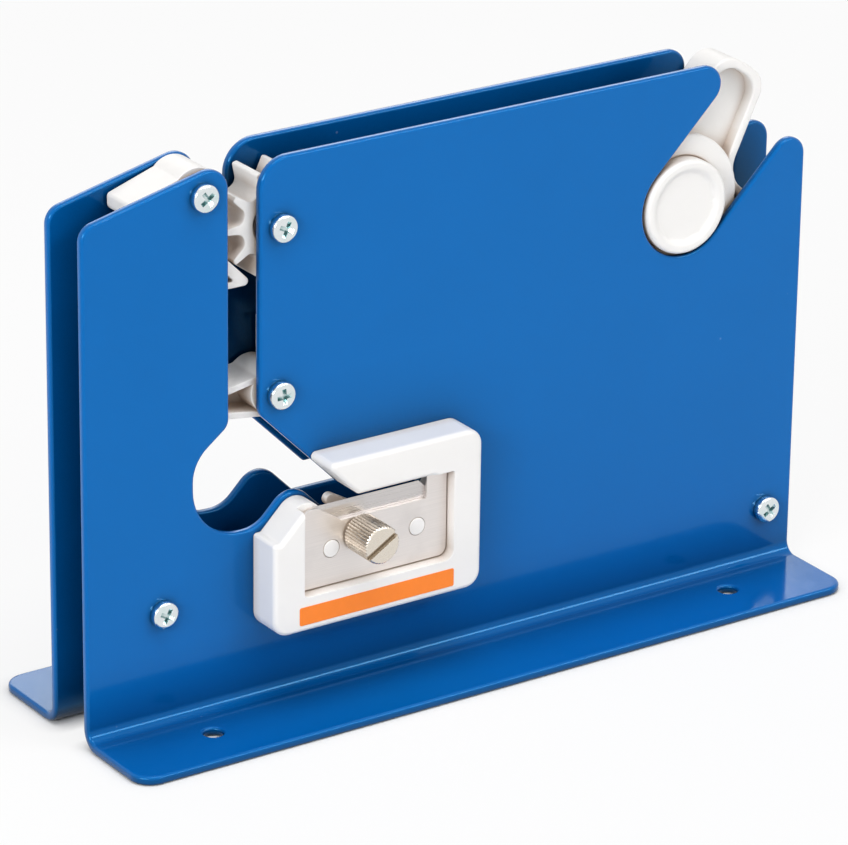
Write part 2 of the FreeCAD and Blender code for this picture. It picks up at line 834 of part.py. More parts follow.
def neck_rib():
    """Slanted finger behind the blade's left end, which leads the neck on to the edge."""
    slope = math.radians(-rib_slope)
    along = (math.cos(slope), math.sin(slope))
    across = (-along[1], along[0])
    nose_x = window_left + rib_nose_in
    nose_z = throat_top_z - rib_nose_drop
    corners = []
    ends = ((0, 1, rib_nose_r), (rib_length, 1, 0), (rib_length, -1, 0), (0, -1, rib_nose_r))
    for reach, side, radius in ends:
        x = nose_x + along[0] * (reach - rib_nose_r) + across[0] * side * rib_nose_r
        z = nose_z + along[1] * (reach - rib_nose_r) + across[1] * side * rib_nose_r
        corners.append((x, z, radius))
    return prism(corners, -rib_t, 0)


def guard_screw(x, z, play):
    """Countersunk screw from inside the gap, flush with the front plate's inner face."""
    shank = rod(x, z, guard_screw_r + play, -guard_screw_length - play, guard_screw_land)
    head = Part.makeCone(guard_screw_r + play, guard_screw_head_r + play, sheet - guard_screw_land,
                         V(x, guard_screw_land, z), V(0, 1, 0))
    return shank.fuse(head).removeSplitter()


def make_guard_screws():
    return Part.makeCompound([guard_screw(x, z, 0) for x, z in guard_screw_places()])


def make_thumb_screw_insert():
    tube = rod(thumb_x, thumb_z, insert_r, window_y, -insert_setback)
    return tube.cut(rod(thumb_x, thumb_z, thumb_shank_r + thread_play, window_y, -insert_setback))


def make_blade_holder_plate():
    """Steel plate over the pins: a round nose at the left and a long notch for the blade."""
    left = window_left + holder_play
    right = window_right - holder_play
    foot = window_foot + holder_play
    nose_x = window_left + holder_nose_in
    nose_top = throat_floor_z + holder_nose_rise
    sill = throat_floor_z + holder_sill_rise
    post_top = throat_top_z - holder_post_drop
    plate = prism([
        (left, foot, holder_foot_r),
        (left, nose_top, holder_nose_r),
        (nose_x + holder_nose_flat, nose_top, holder_nose_r),
        (nose_x + holder_slope_run, sill, holder_sill_r),
        (holder_notch_end, sill, holder_notch_r),
        (holder_notch_end, post_top, holder_post_left_r),
        (right, post_top, holder_post_right_r),
        (right, foot, holder_corner),
    ], holder_y, window_y)
    for x in pin_xs:
        plate = plate.cut(rod(x, pin_z, pin_r + pin_hole_play, holder_y, window_y))
    return plate.cut(rod(thumb_x, thumb_z, thumb_shank_r + thumb_shank_play, holder_y, window_y))


def make_trimmer_blade():
    """Flat blade behind the holder, its sharp edge up in the throat, one corner clipped."""
    top = throat_floor_z + trim_blade_rise
    blade = prism([
        (trim_blade_left, trim_blade_foot, 0),
        (trim_blade_left, top, 0),
        (trim_blade_right - trim_blade_clip, top, 0),
        (trim_blade_right, top - trim_blade_clip, 0),
        (trim_blade_right, trim_blade_foot, 0),
    ], window_y, window_y + trim_blade_t)
    ground_y = window_y + trim_blade_t - trim_edge_t
    bevel = Part.Face(Part.makePolygon([
        V(trim_blade_left, window_y, top - trim_bevel_h),
        V(trim_blade_left, window_y, top),
        V(trim_blade_left, ground_y, top),
        V(trim_blade_left, window_y, top - trim_bevel_h),
    ])).extrude(V(trim_blade_right - trim_blade_left, 0, 0))
    return blade.cut(bevel)


def make_thumb_screw():
    """Straight-knurled head with a driver slot, on a threaded shank."""
    face = holder_y - thumb_length
    points = []
    for i in range(thumb_knurls):
        crest = 360.0 * i / thumb_knurls
        valley = crest + 180.0 / thumb_knurls
        points.append((*polar(thumb_x, thumb_z, thumb_r, crest), 0))
        points.append((*polar(thumb_x, thumb_z, thumb_r - thumb_knurl_depth, valley), 0))
    head = prism(points, face, holder_y)
    envelope = turned([
        (0, face),
        (thumb_r - thumb_chamfer, face),
        (thumb_r + over, face + thumb_chamfer + over),
        (thumb_r + over, holder_y - thumb_chamfer - over),
        (thumb_r - thumb_chamfer, holder_y),
        (0, holder_y),
    ], thumb_x, thumb_z)
    slot = box(-thumb_r, thumb_r, face, face + thumb_slot_depth, -thumb_slot_w / 2, thumb_slot_w / 2)
    slot.rotate(V(0, 0, 0), V(0, 1, 0), -thumb_slot_angle)
    slot.translate(V(thumb_x, 0, thumb_z))
    shank = rod(thumb_x, thumb_z, thumb_shank_r, holder_y, -insert_setback - thumb_tip_setback)
    return head.common(envelope).cut(slot).fuse(shank).removeSplitter()


def make_orange_strip():
    """Plain film strip stuck on the guard under its window."""
    foot = guard_foot + strip_rise
    y1 = -guard_depth
    return box(guard_left + strip_in, window_right, y1 - strip_t, y1, foot, foot + strip_height)


NODES = {
    "front_side_plate": make_front_side_plate,
    "rear_side_plate": make_rear_side_plate,
    "front_screws": make_front_screws,
    "rear_screws": make_rear_screws,
    "lower_spacers": make_lower_spacers,
    "star_wheel_bush": lambda: bush(star_x, star_z, star_bush_r),
    "pawl_pivot_bush": lambda: bush(pawl_x, pawl_z, pivot_bush_r),
    "knife_pivot_bush": lambda: bush(knife_x, knife_z, pivot_bush_r),
    "star_wheel": make_star_wheel,
    "pawl_lever": make_pawl_lever,
    "pawl_spring": lambda: torsion_spring(pawl_x, pawl_z),
    "knife_lever": make_knife_lever,
    "knife_spring": lambda: torsion_spring(knife_x, knife_z),
    "tape_knife": make_tape_knife,
    "knife_rivets": make_knife_rivets,
    "tape_hub": make_tape_hub,
    "hub_axle_front": make_hub_axle_front,
    "hub_axle_rear": make_hub_axle_rear,
    "trimmer_guard": make_trimmer_guard,
    "guard_screws": make_guard_screws,
    "thumb_screw_insert": make_thumb_screw_insert,
    "blade_holder_plate": make_blade_holder_plate,
    "trimmer_blade": make_trimmer_blade,
    "thumb_screw": make_thumb_screw,
    "orange_strip": make_orange_strip,
}

print("least gap between the spring's turns", round(coil_gap(), 3))
os.makedirs("parts", exist_ok=True)
for node, make in NODES.items():
    shape = make()
    shape.translate(V(-plate_length / 2, -y_mid, 0))
    shape.exportStep("parts/" + node + ".step")
    print(node, len(shape.Solids), shape.isValid(), round(shape.Volume, 1))
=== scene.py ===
import json
import math

import bmesh
import bpy
from bpy.props import FloatProperty, FloatVectorProperty, IntProperty, PointerProperty
from bpy.types import Operator, Panel, PropertyGroup
from mathutils import Matrix, Vector


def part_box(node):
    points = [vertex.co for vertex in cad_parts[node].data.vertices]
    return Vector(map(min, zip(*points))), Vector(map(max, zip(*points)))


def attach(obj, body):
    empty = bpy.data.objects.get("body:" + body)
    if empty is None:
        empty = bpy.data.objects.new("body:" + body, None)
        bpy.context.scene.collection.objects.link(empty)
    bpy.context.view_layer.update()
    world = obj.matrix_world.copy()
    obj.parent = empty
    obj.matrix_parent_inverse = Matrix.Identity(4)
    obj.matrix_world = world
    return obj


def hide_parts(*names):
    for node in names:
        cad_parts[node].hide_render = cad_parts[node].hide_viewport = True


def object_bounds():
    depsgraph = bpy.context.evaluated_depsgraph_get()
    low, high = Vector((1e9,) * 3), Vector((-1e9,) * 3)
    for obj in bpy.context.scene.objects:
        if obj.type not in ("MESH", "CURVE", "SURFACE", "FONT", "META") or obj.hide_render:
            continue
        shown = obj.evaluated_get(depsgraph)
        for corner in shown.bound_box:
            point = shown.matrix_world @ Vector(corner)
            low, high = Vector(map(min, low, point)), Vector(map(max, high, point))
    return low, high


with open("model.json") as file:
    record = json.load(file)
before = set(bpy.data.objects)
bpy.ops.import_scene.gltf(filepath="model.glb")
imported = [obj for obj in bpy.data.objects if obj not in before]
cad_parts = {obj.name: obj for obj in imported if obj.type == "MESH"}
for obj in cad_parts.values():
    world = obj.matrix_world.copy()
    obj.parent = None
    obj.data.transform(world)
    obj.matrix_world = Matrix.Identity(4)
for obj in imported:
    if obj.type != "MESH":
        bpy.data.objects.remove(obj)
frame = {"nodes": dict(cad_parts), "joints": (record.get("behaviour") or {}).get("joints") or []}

# Dresses a bench bag neck sealer: painted side plates, white mouldings, plated screws,
# the tape hub and the guarded trimmer blade. Lengths are in metres unless a name ends in _mm,
# and the scales of the patterns in the finishes are per metre.

bl_info = {
    "name": "Bag Neck Sealer",
    "version": (1, 0, 0),
    "blender": (4, 5, 0),
    "location": "View3D > Sidebar > Bag Sealer",
    "description": "Paint, mouldings, fasteners and blade of a bench bag neck sealer",
    "category": "Object",
}

MM = 0.001
WHITE = (1.0, 1.0, 1.0, 1.0)
CAD_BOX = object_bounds()
JOINTS = {joint["name"]: joint for joint in frame["joints"]}

# Corners nearer than WELD are one, and faces within FLAT_ANGLE are one flat face. An edge is
# rounded where it stands out by more than OUTER_ANGLE and the faces beside it are wider than
# ROOM_FACTOR radii. It is shaded as a crease above CREASE_ANGLE.
WELD = 0.002 * MM
FLAT_ANGLE = math.radians(0.5)
OUTER_ANGLE = math.radians(30.0)
ROOM_FACTOR = 2.05
CREASE_ANGLE = math.radians(40.0)
SCREW_CREASE_ANGLE = math.radians(35.0)

# Flat faces that one rounded edge is made of.
SMALL_EDGE_STEPS = 2
MOULDED_EDGE_STEPS = 3
PAINTED_EDGE_STEPS = 4
STRIP_CORNER_STEPS = 4

# A pan head screw: the head's crown, and shares of the head's height and radius and of the
# shank's length and radius.
CROWN_POWER = 4.0
CROWN_STEPS = 14
HEAD_SIDE = 0.5
HEAD_RIM = 0.25
HEAD_FOOT = 0.97
SHANK_RADIUS = 0.56
SHANK_STRAIGHT = 0.94
SHANK_TIP = 0.8
RECESS_FOOT = 0.55
RECESS_OVERCUT = 1.2

# Where a finish's noise has most of its values, and how a grain runs along X in brushed steel.
NOISE_LOW = 0.3
NOISE_HIGH = 0.7
GRAIN_SCALE = (60.0, 4200.0, 4200.0)
SCRATCH_WIDTH = 5
SPOT_CORE = 0.4
SHADE_SAMPLES = 8

CAMERA_PLACE = Vector((-641.8, -934.5, 525.8)) * MM
CAMERA_HEADING = math.radians(34.33)
CAMERA_DIP = math.radians(22.46)
CAMERA_TILT = math.radians(0.751)
CAMERA_FAR = 20.0
SENSOR_WIDTH_MM = 36.0

FLOOR_HALF = 4.0
FLOOR_GAP = 0.02 * MM
FLOOR_GLOW = 0.84
# Painted contact shade on the floor: within CONTACT_REACH of the object its glow fades, and it is gone
# where the open share falls to CONTACT_DARKEST.
CONTACT_REACH = 5 * MM
CONTACT_DARKEST = 0.4

# Each lamp's place, its two sides and the setting that holds its power.
LAMPS = {
    "key_lamp": ((0.95, -1.3, 1.2), (1.3, 0.35), "key_power"),
    "fill_lamp": ((-1.45, -0.7, 0.75), (1.0, 0.5), "fill_power"),
    "top_lamp": ((0.0, -0.6, 1.75), (1.4, 0.6), "top_power"),
    "back_lamp": ((0.5, 1.5, 0.9), (1.4, 0.5), "back_power"),
}


def pivot(joint):
    """Where a joint's axis passes, as a point."""
    return Vector(JOINTS[joint]["pos_m"])


# The guard lies on the front plate, and the plates stand alike on both sides of the middle.
# The highest screw is on the pawl's pivot, so the top of its head gives the heads' radius.
PLATE_FACE = -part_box("trimmer_guard")[1].y
HEAD_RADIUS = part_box("front_screws")[1].z - pivot("pawl_lever_swing").z


class BagSealerColours(PropertyGroup):
    """Colours of the finishes as they look under white light, and of the painted shade in their hollows."""

    paint: FloatVectorProperty(
        name="Paint", description="Powder coat on both side plates",
        default=(0.0005, 0.118, 0.415), subtype="COLOR", size=3, min=0, max=1)
    paint_gloss: FloatVectorProperty(
        name="Paint gloss", description="Tint of what the powder coat mirrors",
        default=(0.0, 0.5, 1.0), subtype="COLOR", size=3, min=0, max=1)
    paint_dust: FloatVectorProperty(
        name="Dust in the paint", description="Grains of dust under the powder coat",
        default=(0.35, 0.5, 0.75), subtype="COLOR", size=3, min=0, max=1)
    plastic: FloatVectorProperty(
        name="Plastic", description="Moulded levers, hub and guard",
        default=(0.86, 0.845, 0.825), subtype="COLOR", size=3, min=0, max=1)
    # Painted shade: the warm dark tone that the mouldings take in their hollows.
    plastic_painted_shade: FloatVectorProperty(
        name="Plastic in hollows", description="Warmer tone where the mouldings are deep",
        default=(0.52, 0.40, 0.31), subtype="COLOR", size=3, min=0, max=1)
    zinc: FloatVectorProperty(
        name="Zinc", description="Plated screws and rivets",
        default=(0.74, 0.78, 0.79), subtype="COLOR", size=3, min=0, max=1)
    zinc_bloom: FloatVectorProperty(
        name="Zinc bloom", description="Bluish green clouds in the zinc plate",
        default=(0.5, 0.72, 0.7), subtype="COLOR", size=3, min=0, max=1)
    # Painted shade deep in the screws' recesses.
    zinc_painted_shade: FloatVectorProperty(
        name="Zinc in recesses", description="Darker tone deep in the screws' recesses",
        default=(0.3, 0.45, 0.45), subtype="COLOR", size=3, min=0, max=1)
    holder_steel: FloatVectorProperty(
        name="Holder steel", description="Brushed plate over the blade",
        default=(0.80, 0.755, 0.73), subtype="COLOR", size=3, min=0, max=1)
    blade_steel: FloatVectorProperty(
        name="Blade steel", description="Ground blades",
        default=(0.62, 0.59, 0.58), subtype="COLOR", size=3, min=0, max=1)
    turned_steel: FloatVectorProperty(
        name="Turned steel", description="Bushes and spacers",
        default=(0.55, 0.55, 0.56), subtype="COLOR", size=3, min=0, max=1)
    spring_wire: FloatVectorProperty(
        name="Spring wire", description="Torsion springs",
        default=(0.42, 0.42, 0.44), subtype="COLOR", size=3, min=0, max=1)
    nickel: FloatVectorProperty(
        name="Nickel", description="Plated brass of the thumb screw",
        default=(0.74, 0.675, 0.585), subtype="COLOR", size=3, min=0, max=1)
    # Painted shade: the dark brown that the hollows between the knurls take.
    nickel_knurl_shade: FloatVectorProperty(
        name="Grime on nickel", description="What has settled between the knurls",
        default=(0.24, 0.18, 0.12), subtype="COLOR", size=3, min=0, max=1)
    brass: FloatVectorProperty(
        name="Brass", description="Threaded insert in the guard",
        default=(0.74, 0.55, 0.25), subtype="COLOR", size=3, min=0, max=1)
    strip: FloatVectorProperty(
        name="Film strip", description="Adhesive strip under the window",
        default=(1.0, 0.235, 0.012), subtype="COLOR", size=3, min=0, max=1)


class BagSealerEdges(PropertyGroup):
    """How far the edges of each kind of piece are rounded."""

    paint: FloatProperty(
        name="Painted edges", description="Radius that the paint gives the plates' edges",
        default=0.8 * MM, unit="LENGTH", min=0.1 * MM, max=1.0 * MM)
    moulding: FloatProperty(
        name="Moulded edges", description="Radius on the edges of the pawl lever and star wheel",
        default=0.35 * MM, unit="LENGTH", min=0.05 * MM, max=0.6 * MM)
    knife_lever: FloatProperty(
        name="Knife lever edges", description="Radius on the edges of the knife lever",
        default=0.25 * MM, unit="LENGTH", min=0.05 * MM, max=0.4 * MM)
    hub: FloatProperty(
        name="Hub edges", description="Radius on the edges of the tape hub",
        default=0.6 * MM, unit="LENGTH", min=0.05 * MM, max=0.8 * MM)
    axle: FloatProperty(
        name="Axle edges", description="Radius on the edges of the hub's axle",
        default=0.4 * MM, unit="LENGTH", min=0.05 * MM, max=0.6 * MM)
    guard: FloatProperty(
        name="Guard edges", description="Radius on the guard's own sharp edges",
        default=0.2 * MM, unit="LENGTH", min=0.05 * MM, max=0.6 * MM)
    metal: FloatProperty(
        name="Metal edges", description="Radius on stamped and turned metal",
        default=0.12 * MM, unit="LENGTH", min=0.02 * MM, max=0.3 * MM)
    knurl: FloatProperty(
        name="Knurled edges", description="Radius on the knurls and slot of the thumb screw",
        default=0.06 * MM, unit="LENGTH", min=0.02 * MM, max=0.1 * MM)
    strip_corner: FloatProperty(
        name="Strip corners", description="Radius at the four corners of the film strip",
        default=0.45 * MM, unit="LENGTH", min=0.1 * MM, max=1.0 * MM)
    strip: FloatProperty(
        name="Strip edges", description="Radius on the thin edges of the film strip",
        default=0.04 * MM, unit="LENGTH", min=0.01 * MM, max=0.06 * MM)


class BagSealerScrews(PropertyGroup):
    """The cross recess of the pan head screws."""

    recess_reach: FloatProperty(
        name="Recess reach", description="From the screw's middle to the end of a wing",
        default=2.1 * MM, unit="LENGTH", min=1.0 * MM, max=3.0 * MM)
    recess_width: FloatProperty(
        name="Recess width", description="Width of a wing at the head's top",
        default=1.15 * MM, unit="LENGTH", min=0.4 * MM, max=1.6 * MM)
    recess_depth: FloatProperty(
        name="Recess depth", description="Depth of the recess",
        default=0.9 * MM, unit="LENGTH", min=0.5 * MM, max=2.0 * MM)
    steps: IntProperty(
        name="Steps", description="Flat sides that a screw is turned with", default=64, min=24, max=256)
    turn: FloatProperty(
        name="First turn", description="How far the first screw's recess is turned",
        default=math.radians(24.0), subtype="ANGLE")
    turn_step: FloatProperty(
        name="Turn step", description="How much further each next screw is turned",
        default=math.radians(31.0), subtype="ANGLE")


class BagSealerStage(PropertyGroup):
    """Floor, lamps and camera."""

    floor_tone: FloatProperty(
        name="Floor tone", description="How pale the floor is", default=0.9, min=0.2, max=1.0)
    key_power: FloatProperty(
        name="Key lamp", description="Power of the long lamp at the front right", default=11.5, min=0)
    fill_power: FloatProperty(
        name="Fill lamp", description="Power of the lamp at the front left", default=16.5, min=0)
    top_power: FloatProperty(
        name="Top lamp", description="Power of the lamp overhead", default=13.0, min=0)
    back_power: FloatProperty(
        name="Back lamp", description="Power of the lamp behind", default=4.5, min=0)
    room_level: FloatProperty(
        name="Room level", description="Even light from all round", default=0.26, min=0, max=2)
    focal_length_mm: FloatProperty(
        name="Focal length", description="In millimetres on a 36 mm sensor", default=216.4, min=20)


class BagSealerSettings(PropertyGroup):
    """All that the pieces and the stage read."""

    colours: PointerProperty(type=BagSealerColours)
    edges: PointerProperty(type=BagSealerEdges)
    screws: PointerProperty(type=BagSealerScrews)
    stage: PointerProperty(type=BagSealerStage)


def settings():
    """The add-on's settings in this scene."""
    return bpy.context.scene.bag_sealer


def add_node(tree, kind, inputs=None, **choices):
    """A node with its choices made and its inputs set or linked."""
    made = tree.nodes.new(kind)
    for choice, value in choices.items():
        setattr(made, choice, value)
    for socket, value in (inputs or {}).items():
        if isinstance(value, bpy.types.NodeSocket):
            tree.links.new(value, made.inputs[socket])
        else:
            made.inputs[socket].default_value = value
    return made


def seen_by_eye(tree):
    """1 for rays that the camera, a mirror or glass sends out, and 0 for light on the object."""
    path = add_node(tree, "ShaderNodeLightPath")
    total = path.outputs["Is Camera Ray"]
    for kind in ("Is Glossy Ray", "Is Transmission Ray"):
        either = add_node(tree, "ShaderNodeMath", {0: total, 1: path.outputs[kind]}, operation="MAXIMUM")
        total = either.outputs[0]
    return total


def shaded(colour, share):
    """A colour made darker, or a little lighter, by a share."""
    return (*(share * part for part in colour[:3]), 1.0)


class Finish:
    """A node material read in Object coordinates, with constants set on the shader's own sockets."""

    def __init__(self, name, colour, **constants):
        self.material = bpy.data.materials.new(name)
        self.material.use_nodes = True
        self.tree = self.material.node_tree
        self.shader = self.tree.nodes["Principled BSDF"]
        self.colour = (*colour, 1.0)
        self.shader.inputs["Base Color"].default_value = self.colour
        for socket, value in constants.items():
            self.shader.inputs[socket.replace("_", " ")].default_value = value
        self.place = self.node("ShaderNodeTexCoord").outputs["Object"]
        self.relief = None

    def node(self, kind, inputs=None, **choices):
        return add_node(self.tree, kind, inputs, **choices)

    def stretched(self, scale):
        """Object coordinates scaled along each axis, for grain that runs one way."""
        return self.node("ShaderNodeMapping", {"Vector": self.place, "Scale": scale}).outputs["Vector"]

    def noise(self, scale, detail, place=None):
        inputs = {"Vector": place or self.place, "Scale": scale, "Detail": detail}
        return self.node("ShaderNodeTexNoise", inputs).outputs["Fac"]

    def spots(self, scale, size):
        """1 inside sparse round spots, 0 outside."""
        cells = self.node("ShaderNodeTexVoronoi", {"Vector": self.place, "Scale": scale})
        return self.spread(cells.outputs["Distance"], low=size, high=SPOT_CORE * size)

    def spread(self, value, low=0.0, high=1.0, to_low=0.0, to_high=1.0):
        """The value's range from low to high, spread to another one."""
        inputs = {"Value": value, "From Min": low, "From Max": high, "To Min": to_low, "To Max": to_high}
        return self.node("ShaderNodeMapRange", inputs).outputs["Result"]

    def blend(self, share, first, second):
        """Colour that goes from the first to the second as the share goes from 0 to 1."""
        mix = self.node("ShaderNodeMix", {0: share, 6: first, 7: second}, data_type="RGBA")
        return mix.outputs[2]

    def mottled(self, pattern, low, high):
        """The finish's own colour, from a low to a high share of itself along a pattern."""
        return self.blend(pattern, shaded(self.colour, low), shaded(self.colour, high))

    def with_painted_shade(self, tone, colour, reach, closed, clear, most=1.0):
        """Painted shade: the tone, which goes over to a shade colour where surfaces close in on a point
        within a reach.
        """
        shade = self.node("ShaderNodeAmbientOcclusion", {"Distance": reach}, samples=SHADE_SAMPLES)
        share = self.spread(shade.outputs["AO"], low=closed, high=clear, to_low=most, to_high=0.0)
        return self.blend(share, tone, colour)

    def paint_with(self, colour):
        self.tree.links.new(colour, self.shader.inputs["Base Color"])

    def roughen(self, pattern, low, high):
        """Roughness between two values, following a pattern's middle range."""
        rough = self.spread(pattern, low=NOISE_LOW, high=NOISE_HIGH, to_low=low, to_high=high)
        self.tree.links.new(rough, self.shader.inputs["Roughness"])

    def raise_by(self, pattern, depth):
        """Adds relief of that depth to what there is already."""
        inputs = {"Height": pattern, "Distance": depth}
        if self.relief is not None:
            inputs["Normal"] = self.relief
        self.relief = self.node("ShaderNodeBump", inputs).outputs["Normal"]
        self.tree.links.new(self.relief, self.shader.inputs["Normal"])


def make_blue_paint():
    """Powder coat: soft orange peel, a glossy top, a few grains of dust under it and painted shade in its
    hollows.
    """
    colours = settings().colours
    made = Finish("blue_powder_coat", colours.paint, Roughness=0.15, IOR=1.5, Coat_Weight=0.2,
                  Coat_Roughness=0.07, Specular_Tint=(*colours.paint_gloss, 1.0))
    tone = made.mottled(made.noise(scale=30.0, detail=3.0), low=0.95, high=1.05)
    # Painted shade: the paint goes down to a tenth of its colour where surfaces close in within 20 mm, as
    # between the plates and above the bends.
    painted_shade_blue = shaded(colours.paint, 0.1)
    tone = made.with_painted_shade(tone, painted_shade_blue, reach=20 * MM, closed=0.2, clear=0.97)
    dust = made.spots(scale=70.0, size=0.03)
    made.paint_with(made.blend(made.spread(dust, to_high=0.18), tone, (*colours.paint_dust, 1.0)))
    made.roughen(made.noise(scale=220.0, detail=3.0), low=0.12, high=0.18)
    made.raise_by(made.noise(scale=620.0, detail=2.0), depth=0.01 * MM)
    made.raise_by(made.noise(scale=150.0, detail=1.0), depth=0.025 * MM)
    made.raise_by(dust, depth=0.015 * MM)
    return made.material


def make_white_plastic():
    """Moulded plastic: fine satin grain, faint flow clouds, and warm painted shade in its hollows."""
    colours = settings().colours
    made = Finish("white_moulding", colours.plastic, Roughness=0.42, IOR=1.48)
    tone = made.mottled(made.noise(scale=45.0, detail=3.0), low=0.965, high=1.02)
    # Painted shade: warmer and darker where surfaces close in within 7 mm.
    warm = (*colours.plastic_painted_shade, 1.0)
    made.paint_with(made.with_painted_shade(tone, warm, reach=7 * MM, closed=0.2, clear=0.75, most=0.9))
    made.roughen(made.noise(scale=300.0, detail=4.0), low=0.36, high=0.48)
    made.raise_by(made.noise(scale=2200.0, detail=3.0), depth=0.006 * MM)
    made.raise_by(made.noise(scale=180.0, detail=2.0), depth=0.02 * MM)
    return made.material


def make_zinc():
    """Bright zinc plate: clear mirror with a faint bluish green bloom, handling marks and painted shade in
    its recesses.
    """
    colours = settings().colours
    made = Finish("bright_zinc", colours.zinc, Metallic=1.0, Roughness=0.14)
    clouds = made.spread(made.noise(scale=420.0, detail=2.0), low=0.45, high=0.7, to_high=0.35)
    plated = made.blend(clouds, made.colour, (*colours.zinc_bloom, 1.0))
    # Painted shade: darker where surfaces close in within 1.8 mm, in the cross recesses and round the foot
    # of each head.
    dark = (*colours.zinc_painted_shade, 1.0)
    made.paint_with(made.with_painted_shade(plated, dark, reach=1.8 * MM, closed=0.3, clear=0.85))
    made.roughen(made.noise(scale=900.0, detail=3.0), low=0.1, high=0.2)
    made.raise_by(made.noise(scale=1500.0, detail=2.0), depth=0.004 * MM)
    return made.material


def make_brushed_steel(name, colour, roughness, grain_depth):
    """Steel with a fine grain along X, some wider scratches and faint stains."""
    made = Finish(name, colour, Metallic=1.0, Roughness=roughness)
    grain = made.noise(scale=1.0, detail=3.0, place=made.stretched(GRAIN_SCALE))
    wider = [part / SCRATCH_WIDTH for part in GRAIN_SCALE]
    scratch = made.noise(scale=1.0, detail=2.0, place=made.stretched(wider))
    stain = made.spread(made.noise(scale=90.0, detail=4.0), low=0.5, high=0.75, to_high=0.4)
    tone = made.mottled(grain, low=0.86, high=1.06)
    made.paint_with(made.blend(stain, tone, shaded(colour, 0.72)))
    made.roughen(grain, low=roughness - 0.07, high=roughness + 0.09)
    made.raise_by(grain, depth=grain_depth)
    made.raise_by(scratch, depth=0.6 * grain_depth)
    return made.material


def make_turned_steel():
    """Bushes and spacers, slightly oiled."""
    colour = settings().colours.turned_steel
    return make_brushed_steel("turned_steel", colour, roughness=0.34, grain_depth=0.006 * MM)


def make_holder_steel():
    """Stainless plate, brushed along its length."""
    colour = settings().colours.holder_steel
    return make_brushed_steel("brushed_stainless", colour, roughness=0.4, grain_depth=0.005 * MM)


def make_blade_steel():
    """Blades with a fine ground face."""
    colour = settings().colours.blade_steel
    return make_brushed_steel("ground_blade_steel", colour, roughness=0.3, grain_depth=0.003 * MM)


def make_spring_wire():
    """Drawn wire, dark and slightly streaked."""
    made = Finish("drawn_spring_wire", settings().colours.spring_wire, Metallic=1.0, Roughness=0.32)
    made.paint_with(made.mottled(made.noise(scale=700.0, detail=3.0), low=0.75, high=1.15))
    made.roughen(made.noise(scale=1800.0, detail=2.0), low=0.26, high=0.42)
    made.raise_by(made.noise(scale=3000.0, detail=2.0), depth=0.004 * MM)
    return made.material


def make_nickel():
    """Nickel on brass: warm and bright, with painted shade between the knurls."""
    colours = settings().colours
    made = Finish("nickel_plated_brass", colours.nickel, Metallic=1.0, Roughness=0.24)
    # Painted shade: darker where the knurls close in within 1 mm.
    knurl_shade = (*colours.nickel_knurl_shade, 1.0)
    made.paint_with(made.with_painted_shade(made.colour, knurl_shade, reach=1.0 * MM, closed=0.4, clear=0.95))
    made.roughen(made.noise(scale=800.0, detail=3.0), low=0.18, high=0.34)
    made.raise_by(made.noise(scale=1400.0, detail=3.0), depth=0.003 * MM)
    return made.material


def make_brass():
    """Turned brass, a little cloudy."""
    made = Finish("turned_brass", settings().colours.brass, Metallic=1.0, Roughness=0.3)
    made.paint_with(made.mottled(made.noise(scale=500.0, detail=3.0), low=0.8, high=1.05))
    made.roughen(made.noise(scale=1200.0, detail=2.0), low=0.24, high=0.4)
    made.raise_by(made.noise(scale=2500.0, detail=2.0), depth=0.004 * MM)
    return made.material


def make_strip_film():
    """Matt adhesive film: even colour, a few tiny bubbles and a hair of texture."""
    made = Finish("orange_film", settings().colours.strip, Roughness=0.5)
    made.paint_with(made.mottled(made.noise(scale=400.0, detail=4.0), low=0.93, high=1.0))
    made.roughen(made.noise(scale=900.0, detail=3.0), low=0.42, high=0.56)
    made.raise_by(made.spots(scale=420.0, size=0.12), depth=0.01 * MM)
    made.raise_by(made.noise(scale=1600.0, detail=2.0), depth=0.004 * MM)
    return made.material


FINISHES = {
    "blue_paint": make_blue_paint,
    "white_plastic": make_white_plastic,
    "zinc_plate": make_zinc,
    "holder_steel": make_holder_steel,
    "blade_steel": make_blade_steel,
    "bush_steel": make_turned_steel,
    "spring_wire": make_spring_wire,
    "nickel_plate": make_nickel,
    "insert_brass": make_brass,
    "strip_orange": make_strip_film,
}
made_finishes = {}


def finish(slot):
    """The material of one of the record's slots, made once."""
    if slot not in made_finishes:
        made_finishes[slot] = FINISHES[slot]()
    return made_finishes[slot]


def skin_of(node):
    """A CAD node's triangles as one closed skin, its flat faces joined."""
    skin = bmesh.new()
    skin.from_mesh(frame["nodes"][node].data)
    bmesh.ops.remove_doubles(skin, verts=skin.verts, dist=WELD)
    bmesh.ops.dissolve_limit(skin, angle_limit=FLAT_ANGLE, verts=skin.verts, edges=skin.edges)
    return skin


def room_beside(edge):
    """How far the narrower of the two faces beside an edge reaches away from it."""
    foot = edge.verts[0].co
    along = (edge.verts[1].co - foot).normalized()
    return min(max((vert.co - foot).cross(along).length for vert in face.verts) for face in edge.link_faces)


def round_edges(skin, edges, radius, segments):
    """Rounds edges to a radius."""
    bmesh.ops.bevel(skin, geom=edges, offset=radius, offset_type="OFFSET", segments=segments, profile=0.5,
                    affect="EDGES", clamp_overlap=False, loop_slide=False, material=-1)


def ease(skin, radius, segments):
    """Rounds the sharp outer edges that have room for it, and splits wide faces into triangles."""
    outer = [edge for edge in skin.edges if edge.calc_face_angle_signed(0) > OUTER_ANGLE]
    roomy = [edge for edge in outer if room_beside(edge) > ROOM_FACTOR * radius]
    round_edges(skin, roomy, radius, segments)
    wide = [face for face in skin.faces if len(face.verts) > 4]
    bmesh.ops.triangulate(skin, faces=wide, quad_method="BEAUTY", ngon_method="BEAUTY")


